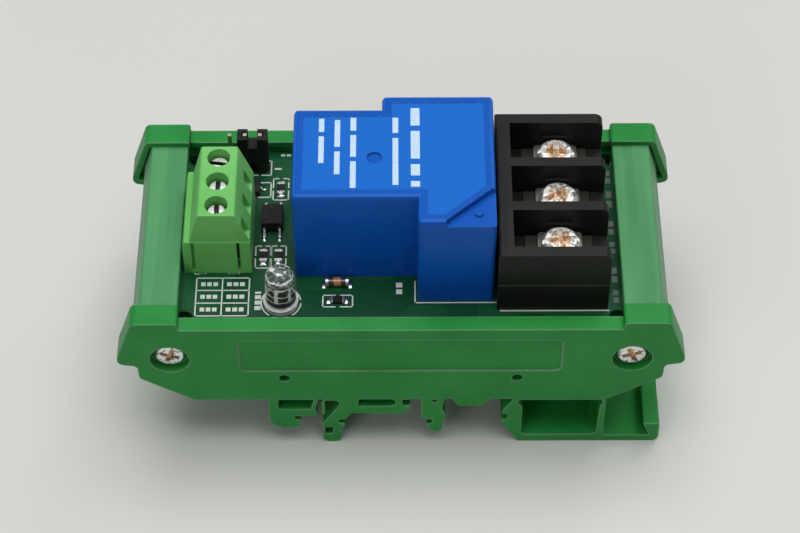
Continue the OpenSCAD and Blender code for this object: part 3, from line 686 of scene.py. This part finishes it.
def board_tracks():
    """Copper tracks under the solder mask, between the small parts."""
    tracks = [
        ([(-17.6, -13.6), (-14, -13.6), (-13.2, -13.6)], 0.6),
        ([(-24.5, -7.4), (-19.5, -7.4), (-15.7, -11.2), (-12.6, -11.2)], 0.6),
        ([(-7.6, -13.5), (-4.5, -13.5), (-2.6, -15.4), (1.6, -15.4)], 0.6),
        ([(-8.3, -10.1), (-5.5, -10.1), (-3.8, -8.4), (-3.8, -7)], 0.8),
        ([(-21.5, -16.6), (-12, -16.6), (-9.5, -16.6)], 0.35),
        ([(-33, -7.9), (-24.5, -7.9)], 0.35),
        ([(-21.2, 14.1), (-19.6, 12.5), (-18.5, 12.5), (-17.9, 11.9), (-17.9, 7.5)], 0.45),
        ([(-21, 16.8), (-18.6, 16.8), (-17, 15.2), (-17, 12.6)], 0.45),
        ([(-23.9, 14), (-23.9, 12.6)], 0.45),
        ([(-20.2, 8), (-20.2, 7.4), (-18.2, 5.4), (-18.2, 1.4)], 0.45),
        ([(-22.7, -2.4), (-22.7, -1.2)], 0.5),
        ([(-20.2, -2.4), (-20.2, -1.2)], 0.5),
    ]
    return gather([ribbon(path, width) for path, width in tracks])


def tube(path, radius, sides=10):
    """A round wire along a path: each point is the path's point + radius (side cos t + up sin t)."""
    path = np.asarray(path, dtype=float)
    along = np.gradient(path, axis=0)
    along /= np.linalg.norm(along, axis=1)[:, None]
    side = np.array([0.0, 1.0, 0.0])
    up = np.cross(along, side)
    up /= np.linalg.norm(up, axis=1)[:, None]
    side = np.cross(up, along)
    turn = np.linspace(0, 2 * math.pi, sides, endpoint=False)[None, :, None]
    points = path[:, None] + radius * (side[:, None] * np.cos(turn) + up[:, None] * np.sin(turn))
    points = points.reshape(-1, 3)
    faces = grid_faces(len(path), sides).tolist()
    faces.append(list(range(sides))[::-1])
    faces.append([len(points) - sides + i for i in range(sides)])
    return points, faces


def lamp_chip():
    """The light chip in its cup and the bond wire to the post: the wire rises and falls as a half sine."""
    x, y, low = LAMP[0] + CHIP_X, LAMP[1], BOARD_TOP + CHIP_Z
    top = low + CHIP_T
    chip = slabs([(x - CHIP_HALF, y - CHIP_HALF, low, x + CHIP_HALF, y + CHIP_HALF, top)])
    t = np.linspace(0, 1, 12)
    path = np.stack([x + BOND_SPAN * t, y + 0 * t, top + BOND_RISE * np.sin(math.pi * t)], axis=-1)
    wire = tube(path, BOND_R, 6)
    return gather([(chip[0], chip[1].tolist()), wire])


def add_pieces(shared):
    """The pieces that finish the board, the relay and the lamp."""
    piece("board_print", *board_print(), ink("print_white_finish", (0.66, 0.70, 0.66)), "board_green")
    piece("edge_print", *edge_print(), ink("print_grey_finish", (0.16, 0.20, 0.17)), "board_green")
    piece("board_tracks", *board_tracks(), shared["board"], "board_green")
    piece("relay_print", *relay_print(), ink("relay_print_finish", (0.55, 0.72, 0.90)), "relay_blue")
    piece("surface_solder", *surface_solder(), shared["solder"], "solder", True)
    piece("lamp_chip", *lamp_chip(), shared["gold"], "pin_gold", True)


# ---- Stage, light and camera ----


def stage_floor():
    """A plain pale table."""
    finish, place = start("table_finish")
    cloud = noise(place, 120, 2)
    shade = blend(cloud, (0.64, 0.64, 0.61), (0.69, 0.69, 0.66))
    surface(finish, place, shade, 0.35 + 0.1 * cloud, None, 0, 0, {"Specular IOR Level": 0.3})
    reach = FLOOR_REACH
    corners = [(-reach, -reach, 0), (reach, -reach, 0), (reach, reach, 0), (-reach, reach, 0)]
    mesh = bpy.data.meshes.new("table")
    mesh.from_pydata([tuple(c * MM for c in corner) for corner in corners], [], [(0, 1, 2, 3)])
    mesh.materials.append(finish)
    table = bpy.data.objects.new("table", mesh)
    bpy.context.scene.collection.objects.link(table)


def lamp(name, place, size, power):
    """A square soft light at a place in metres, aimed at the middle of the module."""
    data = bpy.data.lights.new(name, "AREA")
    data.size = size
    data.energy = power
    light = bpy.data.objects.new(name, data)
    light.location = place
    light.rotation_euler = (Vector((0, 0, 0.02)) - Vector(place)).to_track_quat("-Z", "Y").to_euler()
    bpy.context.scene.collection.objects.link(light)


def set_light():
    """Even daylight all round, a large soft light overhead and two windows: front left and rear right."""
    world = bpy.data.worlds.new("room")
    world.use_nodes = True
    background = world.node_tree.nodes["Background"]
    background.inputs["Color"].default_value = (0.97, 0.98, 1.0, 1)
    background.inputs["Strength"].default_value = 0.19
    bpy.context.scene.world = world
    lamp("ceiling_light", (0.02, 0.06, 0.95), 0.9, 8.4)
    lamp("front_window", (-0.45, -0.75, 0.50), 0.35, 1.1)
    lamp("rear_window", (0.50, 0.70, 0.80), 0.4, 1.5)


def set_camera():
    """The camera looks down on the front of the module."""
    data = bpy.data.cameras.new("camera")
    data.lens = 110.0
    data.sensor_width = 36.0
    data.clip_start = 0.01
    camera = bpy.data.objects.new("camera", data)
    place = Vector((0.0, -0.2614, 0.3399))
    target = Vector((-0.0001, 0.0002, 0.020))
    camera.location = place
    aim = (target - place).to_track_quat("-Z", "Y").to_matrix().to_4x4()
    roll = aim.Rotation(math.radians(-0.20), 4, Vector((0, 0, 1)))
    camera.matrix_world = aim.Translation(place) @ aim @ roll
    bpy.context.scene.collection.objects.link(camera)
    bpy.context.scene.camera = camera


def set_view():
    """Plain display of colours."""
    bpy.context.scene.view_settings.view_transform = "Standard"


add_pieces(dress_nodes())
stage_floor()
set_light()
set_camera()
set_view()
